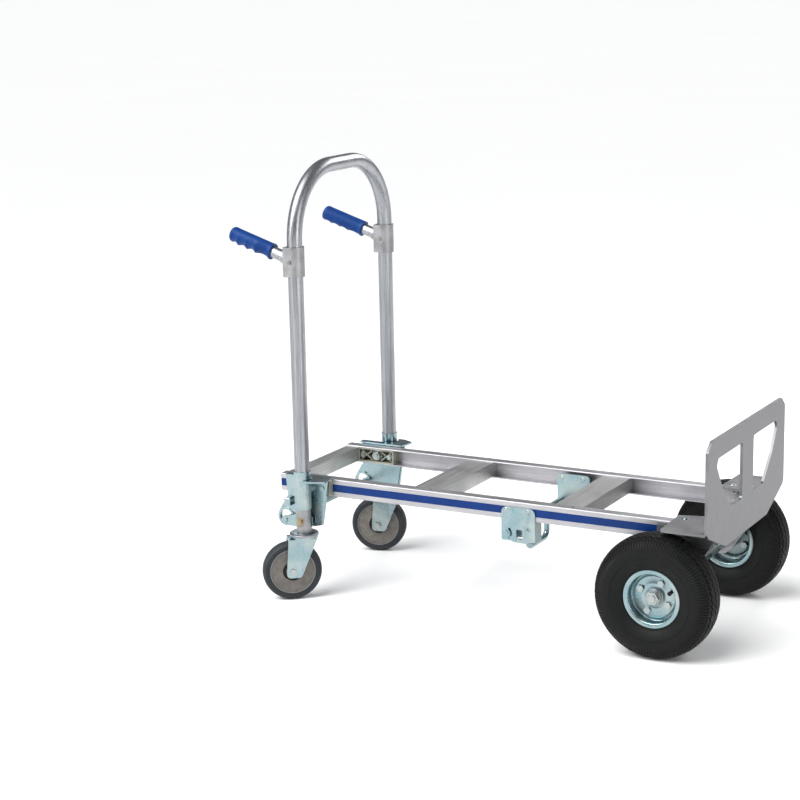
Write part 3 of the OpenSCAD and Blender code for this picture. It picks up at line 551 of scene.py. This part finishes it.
EDGES = {
    "nose_plate": 1.0, "left_grip_clamp": 1.6, "right_grip_clamp": 1.6, "leg_ends": 0.9,
    "left_pivot_bracket": 0.7, "right_pivot_bracket": 0.7, "latch_brackets": 0.6,
    "left_fork": 0.7, "right_fork": 0.7, "left_rail": 0.45, "right_rail": 0.45,
    "end_crossbar": 0.5, "middle_crossbar": 0.5, "lower_crossbar": 0.5,
    "inner_castings": 0.5, "outer_castings": 0.8, "caster_raceways": 0.6, "rod_tabs": 0.6,
    "axle_brackets": 0.6, "left_sleeve": 0.5, "right_sleeve": 0.5,
}
replaced = {n for o in bpy.data.objects for n in o.get("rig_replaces", [])}
for node in sorted(set(NODES) - replaced):
    if node in ("side_stripes", "latch_springs"):
        NODES[node].data.materials.clear()
        NODES[node].data.materials.append(LOOKS[SLOT[node]])
    else:
        rounded_copy(node, EDGES.get(node, 0.35) * MM)


# ---- studio ----


def lamp(name, kind, energy, at, size, aim=(0, 0, 0.3)):
    light = bpy.data.lights.new(name, kind)
    light.energy = energy
    if kind == "AREA":
        light.shape, light.size, light.size_y = "RECTANGLE", *size
    else:
        light.angle = size
    lamp_object = bpy.data.objects.new(name, light)
    bpy.context.scene.collection.objects.link(lamp_object)
    lamp_object.location = at
    lamp_object.rotation_mode = "QUATERNION"
    lamp_object.rotation_quaternion = (Vector(aim) - Vector(at)).to_track_quat("-Z", "Y")


def studio():
    """Plain pale floor out to the horizon, one broad soft sun, and large panels for the metal to show."""
    look = Look("floor", 0.0, 0.9, specular=0.1)
    look.colour(look.blend(look.between(look.noise(0.6), 0.0, 1.0), (0.95, 0.95, 0.95), (0.96, 0.96, 0.96)))
    far = 150.0
    mesh = bpy.data.meshes.new("floor")
    mesh.from_pydata([(-far, -far, 0), (far, -far, 0), (far, far, 0), (-far, far, 0)], [], [(0, 1, 2, 3)])
    mesh.materials.append(look.mat)
    floor = bpy.data.objects.new("floor", mesh)
    bpy.context.scene.collection.objects.link(floor)

    world = bpy.data.worlds.new("studio")
    world.use_nodes = True
    world.node_tree.nodes["Background"].inputs["Color"].default_value = (0.95, 0.97, 1.0, 1)
    world.node_tree.nodes["Background"].inputs["Strength"].default_value = 0.22
    bpy.context.scene.world = world

    lamp("sun", "SUN", 3.2, (-1.0, -1.6, 3.0), math.radians(50))
    lamp("key", "AREA", 48, (-1.8, -2.4, 2.0), (1.2, 2.6))
    lamp("fill", "AREA", 36, (3.0, -1.2, 1.5), (0.7, 2.4))
    lamp("rim", "AREA", 50, (0.6, 3.0, 2.4), (2.6, 1.2))
    bpy.context.scene.view_settings.view_transform = "Standard"


# The viewpoint: turned about Z, tipped down and rolled, at a place measured from the handle's legs.
AZIMUTH, ELEVATION, ROLL = math.radians(25.99), math.radians(12.83), math.radians(0.48)
FROM_LEGS = Vector((2.1865, -3.6352, 1.3545))
LENS, SENSOR, SHIFT = 88.85, 36.0, -0.1445


def camera():
    """The photograph's viewpoint, as a place and directions in the object's frame."""
    azimuth, elevation, roll = AZIMUTH, ELEVATION, ROLL
    ahead = Vector((-math.sin(azimuth) * math.cos(elevation), math.cos(azimuth) * math.cos(elevation),
                    -math.sin(elevation)))
    right = Vector((math.cos(azimuth), math.sin(azimuth), 0))
    up = right.cross(ahead)
    right, up = (right * math.cos(roll) - up * math.sin(roll), right * math.sin(roll) + up * math.cos(roll))
    data = bpy.data.cameras.new("camera")
    data.sensor_width, data.lens = SENSOR, LENS
    data.shift_x = SHIFT
    data.clip_end = 500
    view = bpy.data.objects.new("camera", data)
    bpy.context.scene.collection.objects.link(view)
    turn = Matrix((right, up, -ahead)).transposed().to_4x4()
    place = FROM_LEGS + Vector((centre("handle_tube").x, 0, 0))
    view.matrix_world = Matrix.Translation(place) @ turn
    bpy.context.scene.camera = view


studio()
camera()
